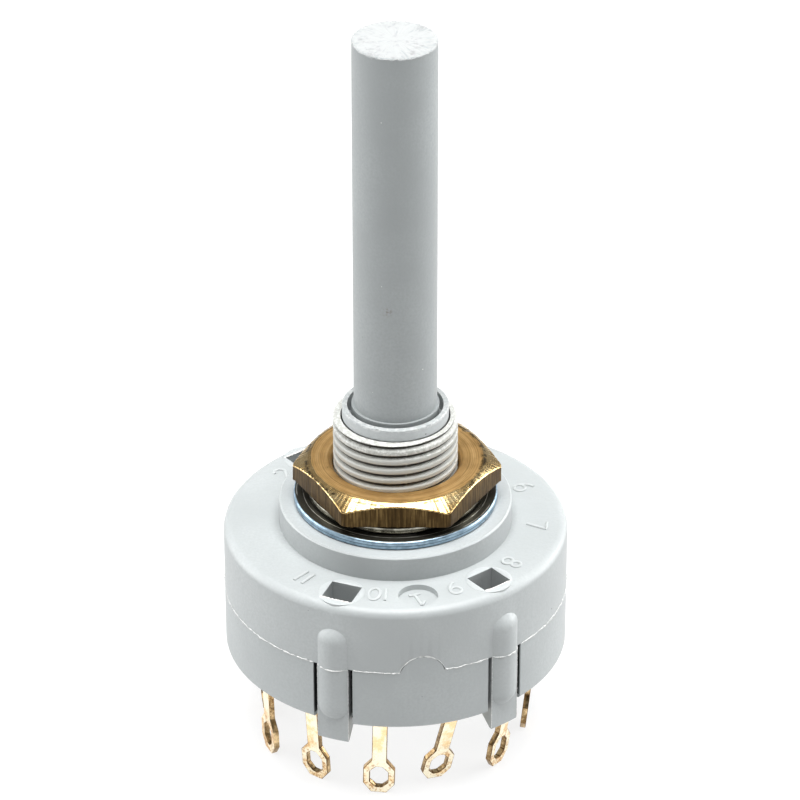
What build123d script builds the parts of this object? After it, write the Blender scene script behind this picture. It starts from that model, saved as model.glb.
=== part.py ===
from build123d import *
import math
import os

os.makedirs("parts", exist_ok=True)

# Rotary switch, one pole and twelve positions, with a threaded bush and solder tags.
# Millimetres. The spindle runs up +Z, the key axis with the index recess faces -Y, and z = 0
# is the level of the solder tags' tips. A bearing is an angle in degrees about Z, counted
# from the key axis towards +X, which is anticlockwise seen from the spindle's end.

# Positions
positions = 12
step = 360 / positions
first_bearing = -105

# Plastic body
body_r = 13.26
wall_t = 1.6
base_h = 5.05
cap_h = 5.47
floor_t = 2.2
ceiling_t = 1.7
top_edge_r = 0.7
top_edge_steps = 3
base_edge = 0.2
shoulder_w = 4.31
boss_h = 2.0
boss_edge = 0.12
seam_clearance = 0.05

# Bush, 3/8 in over its thread
thread_d = 9.525
thread_h = 7.33
thread_lead = 0.2
nose_d = 8.15
nose_h = 0.93
nose_bevel = 0.3
mouth_d = 7.35
mouth_depth = 1.3

# Spindle, 1/4 in, with its rotor
spindle_d = 6.35
spindle_reach = 30.8
spindle_tip_bevel = 0.35
journal_d = 6.7
journal_proud = 0.15
running_clearance = 0.05
rotor_side_gap = 0.5
rotor_top_gap = 0.22
thrust_r = 4.6
pivot_r = 2.4
pivot_depth = 1.5

# Snap legs, with their slots, barbs and ribs, and the windows above them
leg_bearings = (-30, 30, 150, 210)
leg_w = 2.5
leg_t = 0.91
leg_inset = 0.02
leg_slot = 0.34
leg_back_gap = 0.25
leg_drop = 1.6
barb_depth = 1.15
barb_lip = 0.3
barb_seat_gap = 0.05
rib_w = 2.4
rib_proud = 0.55
rib_top = 8.5
rib_bottom = 0.28
window_w = 2.4
window_depth = 2.25

# Index recess and half-round key tab
recess_d = 3.0
recess_depth = 0.45
recess_inset = 2.21
key_chord = 3.45
key_rise = 1.4

# Detent ring, balls and spring
crest_land = 2.26
spigot_drop = 1.45
ball_d = 2.5
ball_gap = 0.05
ball_travel = 0.45
notch_r = 2.0
spring_coil_d = 1.8
spring_wire_d = 0.35
spring_wire_sides = 4
spring_turns = 4

# Position stop: a lug on the rotor, a fixed web in the boss and slots for the ring's tongue
stop_groove_inner_r = 5.9
stop_groove_outer_r = 6.95
stop_roof_t = 0.82
lug_half_angle = 5.0
stop_slack = 0.5
lug_side_gap = 0.1
lug_top_gap = 0.4

# Stop ring, lock washer and nut
ring_d = 15.65
ring_t = 0.7
ring_bore_gap = 0.1
ring_edge = 0.12
tongue_w = 1.1
tongue_drop = 1.5
tongue_gap = 0.06
tongue_wall_gap = 0.19
lock_d = 13.6
lock_sheet_t = 0.45
lock_rim_w = 1.15
lock_teeth = 10
lock_tooth_w = 1.25
lock_twist = 16
lock_bore_gap = 0.12
lock_seat_gap = 0.01
nut_flats = 14.0
nut_t = 2.0
nut_crown_d = 13.5
nut_chamfer_angle = 30
nut_bore_gap = 0.05
nut_mouth_bevel = 0.3
nut_turn = -9.6

# Solder tags
sheet_t = 0.45
tag_inset = 0.72
tag_reach = 8.05
bend_drop = 0.12
stem_w = 1.15
eyelet_w = 2.45
eyelet_h = 3.15
eyelet_foot_w = 1.2
shoulder_h = 0.85
foot_h = 0.85
hole_w = 1.42
hole_h = 2.0
hole_corner = 0.48
hole_drop = 1.6
pad_w = 2.2
pad_length = 2.74
slot_gap = 0.05
tag_lean = 6.0
# Tags bent in handling: lean towards the axis and sway anticlockwise, in degrees
bent_tags = {12: (1.5, 1.2), 11: (6.0, -1.2), 10: (5.5, -1.7), 9: (14.5, -5.6), 8: (6.5, -4.8)}

# Common track and wiper
track_inner_r = 3.2
track_outer_r = 5.0
common_bearing = 180
wiper_w = 2.4
wiper_t = 0.3
wiper_lift = 0.05
wiper_arch = 0.45
wiper_toe = 1.2
wiper_ramp = 0.9
wiper_inset = 0.3
wiper_overlap = 1.5
peg_d = 1.2
peg_gap = 0.05
peg_head = 0.15

# Levels, from the tags' tips upwards
base_z = tag_reach
floor_z = base_z + floor_t
seam_z = base_z + base_h
top_z = seam_z + cap_h
ceiling_z = top_z - ceiling_t
boss_z = top_z + boss_h
thread_top_z = boss_z + thread_h
mouth_z = thread_top_z + nose_h
spindle_top_z = mouth_z + spindle_reach
contact_z = floor_z + sheet_t
wiper_z = contact_z + wiper_lift
rotor_z = wiper_z + wiper_arch + wiper_t
rotor_top_z = ceiling_z - rotor_top_gap
spigot_z = seam_z - spigot_drop
stop_roof_z = boss_z - stop_roof_t
ring_top_z = boss_z + ring_t
twist = math.radians(lock_twist)
lock_free_h = lock_tooth_w * math.sin(twist) + lock_sheet_t * math.cos(twist)
lock_mid_z = ring_top_z + lock_seat_gap + lock_free_h / 2
nut_z = ring_top_z + lock_free_h + 2 * lock_seat_gap

# Radii and places that follow from the fits
thread_r = thread_d / 2
bore_r = journal_d / 2 + running_clearance
boss_r = body_r - shoulder_w
inner_r = body_r - wall_t
spigot_r = inner_r - seam_clearance
crest_r = inner_r - crest_land
rotor_r = crest_r - rotor_side_gap
tag_r = inner_r - tag_inset
pad_inner_r = tag_r - pad_length
recess_r = body_r - recess_inset
leg_back_r = body_r - leg_t
window_inner_r = leg_back_r - window_depth
leg_half_angle = math.degrees(math.asin(leg_w / 2 / body_r))
gap_half_angle = math.degrees(math.asin((leg_w / 2 + leg_slot) / body_r))
key_r = ((key_chord / 2) ** 2 + key_rise**2) / (2 * key_rise)
key_z = seam_z + key_rise - key_r
ball_r = ball_d / 2
cross_bore_r = ball_r + running_clearance / 2
cross_bore_z = (rotor_z + rotor_top_z) / 2
cross_bore_bearing = first_bearing + 90
ball_rest_r = crest_r - ball_gap - ball_r
notch_centre_r = crest_r + ball_travel - notch_r
spring_coil_r = spring_coil_d / 2
tongue_outer_r = stop_groove_outer_r - tongue_wall_gap
tongue_inner_r = tongue_outer_r - ring_t
stop_bearing = first_bearing + step / 2
web_half_angle = step / 2 - lug_half_angle - stop_slack
ring_bore_r = thread_r + ring_bore_gap
track_tag_r = track_outer_r + sheet_t / 2
wiper_mid_r = (track_outer_r + pad_inner_r) / 2
wiper_end_r = pad_inner_r + wiper_overlap


def outwards(bearing):
    """The level unit vector that points outwards at a bearing."""
    angle = math.radians(bearing)
    return Vector(math.sin(angle), -math.cos(angle), 0)


def radial_plane(bearing):
    """The upright plane through the axis: its x runs outwards and its y runs up."""
    return Plane(origin=(0, 0, 0), x_dir=outwards(bearing), z_dir=outwards(bearing - 90))


def facing_plane(bearing, radius, height):
    """The upright plane that faces outwards: its x runs sideways and its y runs up."""
    origin = outwards(bearing) * radius + Vector(0, 0, height)
    return Plane(origin=origin, x_dir=outwards(bearing + 90), z_dir=outwards(bearing))


def level_plane(bearing, height):
    """The level plane at a height: its x runs sideways and its y runs to the axis."""
    return Plane(origin=(0, 0, height), x_dir=outwards(bearing + 90), z_dir=(0, 0, 1))


def ring_sector(inner, outer, bearing, half_angle):
    """A sketch of the part of a flat ring that lies within a half angle of a bearing."""
    with BuildSketch() as sector:
        with BuildLine():
            outside = CenterArc((0, 0), outer, bearing - 90 - half_angle, 2 * half_angle)
            inside = CenterArc((0, 0), inner, bearing - 90 - half_angle, 2 * half_angle)
            Line(outside @ 0, inside @ 0)
            Line(outside @ 1, inside @ 1)
        make_face()
    return sector.sketch


def rims(part, radius, height):
    """The circular edges of a part that have a radius and lie at a height."""
    circles = part.edges().filter_by(GeomType.CIRCLE)
    at_height = circles.filter_by(lambda rim: abs(rim.center().Z - height) < 0.01)
    return at_height.filter_by(lambda rim: abs(rim.radius - radius) < 0.01)


# Rib of a snap leg, half-round with rounded ends
rib_chord_r = math.sqrt(body_r**2 - (rib_w / 2) ** 2)
rib_sagitta = body_r + rib_proud - rib_chord_r
rib_r = ((rib_w / 2) ** 2 + rib_sagitta**2) / (2 * rib_sagitta)
rib_axis_r = body_r + rib_proud - rib_r
rib_ends = (base_z + rib_bottom + rib_w / 2, base_z + rib_top - rib_w / 2)
with BuildPart() as rib:
    with Locations((0, -rib_axis_r, rib_ends[0])):
        Cylinder(rib_r, rib_ends[1] - rib_ends[0], align=(Align.CENTER, Align.CENTER, Align.MIN))
    with Locations(*[(0, -rib_axis_r, end) for end in rib_ends]):
        Sphere(rib_r)
    with BuildSketch(Plane.XY.offset(base_z)):
        add(ring_sector(leg_back_r + leg_t / 2, body_r + 2 * rib_proud, 0, leg_half_angle))
    extrude(amount=base_h + cap_h, mode=Mode.INTERSECT)

# Quarter round of the cup's top edge, in flat steps
edge_turns = [step_number * math.pi / 2 / top_edge_steps for step_number in range(top_edge_steps + 1)]
top_edge = [
    (body_r - top_edge_r * (1 - math.cos(turn)), top_z - top_edge_r * (1 - math.sin(turn)))
    for turn in edge_turns
]

# Front housing: cup, boss and threaded bush in one moulding
with BuildPart() as front_housing:
    with BuildSketch(Plane.XZ):
        with BuildLine():
            Polyline(
                (bore_r, ceiling_z),
                (stop_groove_inner_r, ceiling_z),
                (stop_groove_inner_r, stop_roof_z),
                (stop_groove_outer_r, stop_roof_z),
                (stop_groove_outer_r, ceiling_z),
                (crest_r, ceiling_z),
                (crest_r, spigot_z),
                (spigot_r, spigot_z),
                (spigot_r, seam_z),
                (body_r, seam_z),
                *top_edge,
                (boss_r, top_z),
                (boss_r, boss_z),
                (thread_r, boss_z),
                (thread_r, thread_top_z),
                (nose_d / 2, thread_top_z),
                (nose_d / 2, mouth_z),
                (mouth_d / 2, mouth_z),
                (mouth_d / 2, mouth_z - mouth_depth),
                (bore_r, mouth_z - mouth_depth),
                close=True,
            )
        make_face()
    revolve(axis=Axis.Z)
    chamfer(rims(front_housing, boss_r, boss_z), boss_edge)
    chamfer(rims(front_housing, thread_r, thread_top_z), thread_lead)
    chamfer(rims(front_housing, nose_d / 2, mouth_z), nose_bevel)

    # Fixed stop web across the lug's groove
    with BuildSketch(Plane.XY.offset(ceiling_z)):
        add(ring_sector(stop_groove_inner_r - wall_t / 4, stop_groove_outer_r + wall_t / 4,
                        stop_bearing, web_half_angle))
    extrude(amount=stop_roof_z - ceiling_z)

    # Tongue slots through the boss, one for each number of positions
    for slot in range(positions):
        with BuildSketch(level_plane(stop_bearing + slot * step, boss_z)):
            with Locations((0, -(tongue_inner_r + tongue_outer_r) / 2)):
                Rectangle(tongue_w + 2 * tongue_gap, ring_t + 2 * tongue_gap)
        extrude(amount=-(tongue_drop + 2 * tongue_gap), mode=Mode.SUBTRACT)

    # Detent notches, one for each position
    with BuildSketch(Plane.XY.offset(spigot_z)):
        with PolarLocations(notch_centre_r, positions, start_angle=cross_bore_bearing - 90):
            Circle(notch_r)
    extrude(amount=ceiling_z - spigot_z, mode=Mode.SUBTRACT)

    # Snap legs below the cup, each with a rib and a slanted barb under the base
    for bearing in leg_bearings:
        with BuildSketch(radial_plane(bearing - leg_half_angle)):
            with BuildLine():
                Polyline(
                    (body_r - leg_inset, seam_z + leg_slot),
                    (body_r - leg_inset, base_z - leg_drop),
                    (body_r - barb_lip, base_z - leg_drop),
                    (leg_back_r - barb_depth, base_z - barb_seat_gap - barb_lip),
                    (leg_back_r - barb_depth, base_z - barb_seat_gap),
                    (leg_back_r, base_z - barb_seat_gap),
                    (leg_back_r, seam_z + leg_slot),
                    close=True,
                )
            make_face()
        revolve(axis=Axis.Z, revolution_arc=2 * leg_half_angle)
        add(rib.part.rotate(Axis.Z, bearing))

    # Core-out windows over the barbs
    for bearing in leg_bearings:
        with BuildSketch(level_plane(bearing, top_z)):
            with Locations((0, -(window_inner_r + leg_back_r) / 2)):
                Rectangle(window_w, leg_back_r - window_inner_r)
        extrude(amount=-(top_z - spigot_z), mode=Mode.SUBTRACT)

    # Index recess, and the half-round notch for the base's key tab
    with BuildSketch(level_plane(0, top_z)):
        with Locations((0, -recess_r)):
            Circle(recess_d / 2)
    extrude(amount=-recess_depth, mode=Mode.SUBTRACT)
    with BuildSketch(facing_plane(0, spigot_r - 3 * seam_clearance, key_z)):
        Circle(key_r)
    extrude(amount=2 * wall_t, mode=Mode.SUBTRACT)
front_housing.part.label = "front_housing"
export_step(front_housing.part, "parts/front_housing.step")

# Rear base: floor, wall with notches for the legs, key tab and the tags' slots
with BuildPart() as rear_base:
    with BuildSketch(Plane.XY.offset(base_z)):
        Circle(body_r)
    extrude(amount=base_h)
    with BuildSketch(facing_plane(0, inner_r - wall_t, key_z)):
        Circle(key_r - seam_clearance)
    extrude(amount=2 * wall_t)
    with BuildSketch(Plane.XY.offset(base_z)):
        Circle(body_r)
    extrude(amount=base_h + cap_h, mode=Mode.INTERSECT)
    with BuildSketch(Plane.XY.offset(floor_z)):
        Circle(inner_r)
    extrude(amount=base_h + cap_h, mode=Mode.SUBTRACT)
    chamfer(rims(rear_base, body_r, base_z), base_edge)
    with BuildSketch(Plane.XY.offset(base_z)):
        for bearing in leg_bearings:
            add(ring_sector(leg_back_r - leg_back_gap, body_r + wall_t, bearing, gap_half_angle))
    extrude(amount=base_h, mode=Mode.SUBTRACT)
    with BuildSketch(Plane.XY.offset(base_z)):
        with PolarLocations(tag_r, positions, start_angle=first_bearing - 90):
            Rectangle(sheet_t + 2 * slot_gap, stem_w + 2 * slot_gap)
        with PolarLocations(track_tag_r, 1, start_angle=common_bearing - 90):
            Rectangle(sheet_t + 2 * slot_gap, stem_w + 2 * slot_gap)
    extrude(amount=floor_t, mode=Mode.SUBTRACT)
    with BuildSketch(Plane.XY.offset(floor_z)):
        Circle(pivot_r + running_clearance)
    extrude(amount=-(pivot_depth + running_clearance), mode=Mode.SUBTRACT)
rear_base.part.label = "rear_base"
export_step(rear_base.part, "parts/rear_base.step")

# Spindle: shaft, journal, rotor and pivot in one moulding
with BuildPart() as spindle:
    with BuildSketch(Plane.XZ):
        with BuildLine():
            Polyline(
                (0, floor_z - pivot_depth),
                (pivot_r, floor_z - pivot_depth),
                (pivot_r, rotor_z),
                (rotor_r, rotor_z),
                (rotor_r, rotor_top_z),
                (thrust_r, rotor_top_z),
                (thrust_r, ceiling_z - running_clearance),
                (journal_d / 2, ceiling_z - running_clearance),
                (journal_d / 2, mouth_z + journal_proud),
                (spindle_d / 2, mouth_z + journal_proud),
                (spindle_d / 2, spindle_top_z),
                (0, spindle_top_z),
                close=True,
            )
        make_face()
    revolve(axis=Axis.Z)
    chamfer(rims(spindle, spindle_d / 2, spindle_top_z), spindle_tip_bevel)
    with BuildSketch(facing_plane(cross_bore_bearing, 0, cross_bore_z)):
        Circle(cross_bore_r)
    extrude(amount=body_r, both=True, mode=Mode.SUBTRACT)
    with BuildSketch(Plane.XY.offset(rotor_top_z)):
        add(ring_sector(stop_groove_inner_r + lug_side_gap, stop_groove_outer_r - lug_side_gap,
                        first_bearing, lug_half_angle))
    extrude(amount=stop_roof_z - lug_top_gap - rotor_top_z)
    with BuildSketch(level_plane(first_bearing, rotor_z)):
        with Locations((0, -wiper_mid_r)):
            Circle(peg_d / 2)
    extrude(amount=-(wiper_t + peg_head))
spindle.part.label = "spindle"
export_step(spindle.part, "parts/spindle.step")

# Wiper: a sprung leaf arched between the common track and one tag's pad
wiper_start_r = track_inner_r + wiper_inset
wiper_high_r = (wiper_start_r + wiper_toe + wiper_ramp, wiper_end_r - wiper_toe - wiper_ramp)
with BuildPart() as wiper_contact:
    with BuildSketch(radial_plane(first_bearing)):
        with BuildLine():
            Polyline(
                (wiper_start_r, wiper_z),
                (wiper_start_r + wiper_toe, wiper_z),
                (wiper_high_r[0], wiper_z + wiper_arch),
                (wiper_high_r[1], wiper_z + wiper_arch),
                (wiper_end_r - wiper_toe, wiper_z),
                (wiper_end_r, wiper_z),
                (wiper_end_r, wiper_z + wiper_t),
                (wiper_end_r - wiper_toe, wiper_z + wiper_t),
                (wiper_high_r[1], rotor_z),
                (wiper_high_r[0], rotor_z),
                (wiper_start_r + wiper_toe, wiper_z + wiper_t),
                (wiper_start_r, wiper_z + wiper_t),
                close=True,
            )
        make_face()
    extrude(amount=wiper_w / 2, both=True)
    with BuildSketch(level_plane(first_bearing, rotor_z)):
        with Locations((0, -wiper_mid_r)):
            Circle(peg_d / 2 + peg_gap)
    extrude(amount=-(wiper_arch + wiper_t), mode=Mode.SUBTRACT)
wiper_contact.part.label = "wiper_contact"
export_step(wiper_contact.part, "parts/wiper_contact.step")

# Detent balls, held just clear of the crests, at the two ends of the cross-bore
for name, bearing in (("detent_ball_a", cross_bore_bearing), ("detent_ball_b", cross_bore_bearing + 180)):
    with BuildPart() as detent_ball:
        with Locations(outwards(bearing) * ball_rest_r + Vector(0, 0, cross_bore_z)):
            Sphere(ball_r)
    detent_ball.part.label = name
    export_step(detent_ball.part, f"parts/{name}.step")

# Detent spring, between the two balls
wire_r = spring_wire_d / 2
spring_half = ball_rest_r - math.sqrt((ball_r + wire_r) ** 2 - spring_coil_r**2)
spring_end = outwards(cross_bore_bearing) * -spring_half + Vector(0, 0, cross_bore_z)
with BuildPart() as detent_spring:
    with BuildLine():
        coil = Helix(
            2 * spring_half / spring_turns,
            2 * spring_half,
            spring_coil_r,
            center=spring_end,
            direction=outwards(cross_bore_bearing),
        )
    with BuildSketch(Plane(origin=coil @ 0, z_dir=coil % 0)):
        RegularPolygon(wire_r, spring_wire_sides)
    sweep(path=coil, is_frenet=True)
detent_spring.part.label = "detent_spring"
export_step(detent_spring.part, "parts/detent_spring.step")


def eyelet_outline(neck, reach):
    """The sketch of a tag's eight-sided eyelet, from its neck to its foot, with its solder hole."""
    with BuildSketch() as eyelet:
        with BuildLine():
            Polyline(
                (stem_w / 2, -neck),
                (eyelet_w / 2, -neck - shoulder_h),
                (eyelet_w / 2, -reach + foot_h),
                (eyelet_foot_w / 2, -reach),
                (-eyelet_foot_w / 2, -reach),
                (-eyelet_w / 2, -reach + foot_h),
                (-eyelet_w / 2, -neck - shoulder_h),
                (-stem_w / 2, -neck),
                close=True,
            )
        make_face()
        with BuildSketch(mode=Mode.PRIVATE) as hole:
            Rectangle(hole_w, hole_h)
            chamfer(hole.vertices(), hole_corner)
        with Locations((0, -neck - hole_drop)):
            add(hole.sketch, mode=Mode.SUBTRACT)
    return eyelet.sketch


def tag_below_base(bearing, radius, lean, sway):
    """One tag's stem and eyelet, from its pad's top through the floor to its tip."""
    bend_z = base_z - bend_drop
    reach = tag_reach - bend_drop
    neck = reach - eyelet_h
    neck_corner = Vector(stem_w / 2, -neck).rotate(Axis.Z, sway)
    far_corner = Vector(-stem_w / 2, -neck).rotate(Axis.Z, sway)
    with BuildPart() as below:
        bend = facing_plane(bearing, radius, bend_z)
        with BuildSketch(bend):
            Rectangle(stem_w, contact_z - bend_z, align=(Align.CENTER, Align.MIN))
        extrude(amount=sheet_t / 2, both=True)
        with BuildSketch(radial_plane(bearing)):
            with Locations((radius, bend_z)):
                Circle(sheet_t / 2)
        extrude(amount=stem_w / 2, both=True)
        with BuildSketch(Plane(bend.location * Rotation(lean, 0, 0))):
            with BuildLine():
                Polyline(
                    (stem_w / 2, 0),
                    (stem_w / 2, -sheet_t),
                    neck_corner,
                    far_corner,
                    (-stem_w / 2, -sheet_t),
                    (-stem_w / 2, 0),
                    close=True,
                )
            make_face()
            with Locations(Location((0, 0, 0), sway)):
                add(eyelet_outline(neck, reach))
        extrude(amount=sheet_t / 2, both=True)
    return below.part


# Solder tags, one for each position, each with a contact pad on the floor
for number in range(1, positions + 1):
    bearing = first_bearing - (number - 1) * step
    lean, sway = bent_tags.get(number, (tag_lean, 0))
    with BuildPart() as tag:
        add(tag_below_base(bearing, tag_r, lean, sway))
        with BuildSketch(level_plane(bearing, floor_z)):
            with Locations((0, -tag_r - sheet_t / 2)):
                Rectangle(pad_w, tag_r + sheet_t / 2 - pad_inner_r, align=(Align.CENTER, Align.MIN))
        extrude(amount=sheet_t)
    tag.part.label = f"tag_{number:02d}"
    export_step(tag.part, f"parts/tag_{number:02d}.step")

# Common terminal: a ring track on the floor with a tag of its own
with BuildPart() as common_terminal:
    with BuildSketch(Plane.XY.offset(floor_z)):
        Circle(track_outer_r)
        Circle(track_inner_r, mode=Mode.SUBTRACT)
    extrude(amount=sheet_t)
    with BuildSketch(level_plane(common_bearing, floor_z)):
        with Locations((0, -track_outer_r - sheet_t)):
            Rectangle(stem_w, 2 * sheet_t, align=(Align.CENTER, Align.MIN))
    extrude(amount=sheet_t)
    add(tag_below_base(common_bearing, track_tag_r, 0, 0))
common_terminal.part.label = "common_terminal"
export_step(common_terminal.part, "parts/common_terminal.step")

# Stop ring: plated steel, with a tongue bent down into the slot for twelve positions
with BuildPart() as stop_ring:
    with BuildSketch(Plane.XY.offset(boss_z)):
        Circle(ring_d / 2)
        Circle(ring_bore_r, mode=Mode.SUBTRACT)
    extrude(amount=ring_t)
    chamfer(rims(stop_ring, ring_d / 2, ring_top_z) + rims(stop_ring, ring_d / 2, boss_z), ring_edge)
    with BuildSketch(level_plane(stop_bearing, boss_z)):
        with Locations((0, -tongue_inner_r)):
            Rectangle(tongue_w, tongue_inner_r, align=(Align.CENTER, Align.MIN))
    extrude(amount=ring_t, mode=Mode.SUBTRACT)
    with BuildSketch(level_plane(stop_bearing, boss_z + ring_t / 2)):
        with Locations((0, -(tongue_inner_r + tongue_outer_r) / 2)):
            Rectangle(tongue_w, ring_t)
    extrude(amount=-(ring_t / 2 + tongue_drop))
stop_ring.part.label = "stop_ring"
export_step(stop_ring.part, "parts/stop_ring.step")

# Lock washer: a flat rim with twisted teeth that bite the ring and the nut
lock_rim_r = lock_d / 2 - lock_rim_w
lock_tip_r = thread_r + lock_bore_gap
with BuildPart() as lock_washer:
    with BuildSketch(Plane.XY.offset(lock_mid_z - lock_sheet_t / 2)):
        Circle(lock_d / 2)
        Circle(lock_rim_r, mode=Mode.SUBTRACT)
    extrude(amount=lock_sheet_t)
    for tooth in range(lock_teeth):
        tip = facing_plane(tooth * 360 / lock_teeth, lock_tip_r, lock_mid_z)
        with BuildSketch(Plane(tip.location * Rotation(0, 0, lock_twist))):
            Rectangle(lock_tooth_w, lock_sheet_t)
        extrude(amount=lock_rim_r - lock_tip_r + lock_rim_w / 3)
lock_washer.part.label = "lock_washer"
export_step(lock_washer.part, "parts/lock_washer.step")

# Hexagon nut, turned brass with a chamfered crown
nut_corner_r = nut_flats / math.sqrt(3)
nut_crown_r = nut_crown_d / 2
chamfer_drop = (nut_corner_r - nut_crown_r) * math.tan(math.radians(nut_chamfer_angle))
with BuildPart() as hex_nut:
    with BuildSketch(level_plane(nut_turn, nut_z)):
        RegularPolygon(nut_corner_r, 6)
        Circle(thread_r + nut_bore_gap, mode=Mode.SUBTRACT)
    extrude(amount=nut_t)
    with BuildSketch(Plane.XZ):
        with BuildLine():
            Polyline(
                (0, nut_z),
                (nut_corner_r, nut_z),
                (nut_corner_r, nut_z + nut_t - chamfer_drop),
                (nut_crown_r, nut_z + nut_t),
                (0, nut_z + nut_t),
                close=True,
            )
        make_face()
    revolve(axis=Axis.Z, mode=Mode.INTERSECT)
    chamfer(rims(hex_nut, thread_r + nut_bore_gap, nut_z + nut_t), nut_mouth_bevel)
    chamfer(rims(hex_nut, thread_r + nut_bore_gap, nut_z), nut_mouth_bevel)
hex_nut.part.label = "hex_nut"
export_step(hex_nut.part, "parts/hex_nut.step")
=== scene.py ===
"""Looks of a rotary switch: grey moulded housing and spindle, brass nut, plated washers and gilt solder tags.

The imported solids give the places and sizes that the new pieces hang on. Lengths named here are millimetres and
are turned into metres where a mesh is made. A bearing is an angle in degrees about the spindle, counted from the
index recess (-Y) towards +X.
"""

from __future__ import annotations

import logging
import math
from dataclasses import dataclass, field
from enum import Enum

import bmesh
import bpy
import numpy as np
from mathutils import Matrix, Vector
from numpy.typing import NDArray

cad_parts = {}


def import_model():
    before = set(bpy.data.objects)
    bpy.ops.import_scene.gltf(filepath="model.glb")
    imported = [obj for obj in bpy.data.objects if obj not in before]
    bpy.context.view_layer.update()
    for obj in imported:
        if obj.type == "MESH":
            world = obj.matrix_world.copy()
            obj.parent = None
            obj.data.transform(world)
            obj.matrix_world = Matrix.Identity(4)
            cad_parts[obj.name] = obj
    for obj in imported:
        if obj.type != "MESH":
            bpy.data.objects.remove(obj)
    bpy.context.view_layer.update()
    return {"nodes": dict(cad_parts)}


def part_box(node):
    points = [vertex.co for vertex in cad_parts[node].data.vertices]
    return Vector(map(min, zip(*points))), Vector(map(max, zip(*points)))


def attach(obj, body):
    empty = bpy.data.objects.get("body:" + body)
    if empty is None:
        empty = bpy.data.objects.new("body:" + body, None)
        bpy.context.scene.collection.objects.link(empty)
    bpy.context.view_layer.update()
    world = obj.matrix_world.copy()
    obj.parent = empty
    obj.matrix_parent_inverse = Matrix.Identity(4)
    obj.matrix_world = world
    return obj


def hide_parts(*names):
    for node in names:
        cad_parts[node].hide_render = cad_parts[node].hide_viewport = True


Array = NDArray[np.float64]
Colour = tuple[float, float, float]
Material = bpy.types.Material
Piece = bpy.types.Object
Nodes = dict[str, Piece]

LOG = logging.getLogger("rotary_switch")
MM = 0.001
FLAT_ANGLE = math.radians(0.5)
MERGE_DISTANCE = 1e-7
UP = np.array([0.0, 0.0, 1.0])
BLADE_NODES = tuple(f"tag_{number:02d}" for number in range(1, 13))


def outwards(bearing: Array) -> Array:
    """Level unit vectors that point outwards at bearings in degrees: (sin b, -cos b, 0)."""
    angle = np.radians(bearing)
    return np.stack([np.sin(angle), -np.cos(angle), np.zeros_like(angle)], axis=-1)


def around(radius: Array, bearing: Array, height: Array) -> Array:
    """Points at cylindrical places: radius times the outward vector, plus the height along Z.

    Args:
        radius: distances from the axis, in mm.
        bearing: bearings in degrees.
        height: levels, in mm.

    Returns:
        Points with the three arrays' common shape, and a last axis of three.
    """
    radius, bearing, height = np.broadcast_arrays(radius, bearing, height)
    return radius[..., None] * outwards(bearing) + height[..., None] * UP


def facing(bearing: float) -> tuple[Array, Array]:
    """The unit vector outwards at a bearing, and the level one to its right as seen from above."""
    up = outwards(np.array(bearing))
    return up, np.cross(up, UP)


def link(name: str, data: bpy.types.ID) -> Piece:
    """Makes an object of some data and puts it in the scene."""
    made = bpy.data.objects.new(name, data)
    bpy.context.scene.collection.objects.link(made)
    return made


def ripple(turn: Array, seed: int, low: int, high: int, waves: int = 14) -> Array:
    """A sum of sines with seeded whole-number frequencies and phases, about -1 to 1, which closes over a turn.

    Args:
        turn: places round a circle, in turns.
        seed: seed of the frequencies and phases.
        low: lowest frequency, in waves for each turn.
        high: highest frequency.
        waves: number of sines in the sum.

    Returns:
        The sum over the square root of half the number of sines.
    """
    draw = np.random.default_rng(seed)
    frequency = draw.integers(low, high, waves)
    phase = draw.uniform(0, 2 * np.pi, waves)
    total = np.sin(2 * np.pi * turn[..., None] * frequency + phase).sum(axis=-1)
    return total / (2 * math.sqrt(waves / 2))


def grain(x: Array, y: Array, seed: int, low: float, high: float, waves: int = 24) -> Array:
    """A sum of plane sines in seeded directions, about -1 to 1, with frequencies from low to high in 1/mm."""
    draw = np.random.default_rng(seed)
    heading, phase = draw.uniform(0, 2 * np.pi, (2, waves))
    frequency = draw.uniform(low, high, waves)
    place = x[..., None] * np.cos(heading) + y[..., None] * np.sin(heading)
    return np.sin(2 * np.pi * frequency * place + phase).sum(axis=-1) / (2 * math.sqrt(waves / 2))


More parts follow.
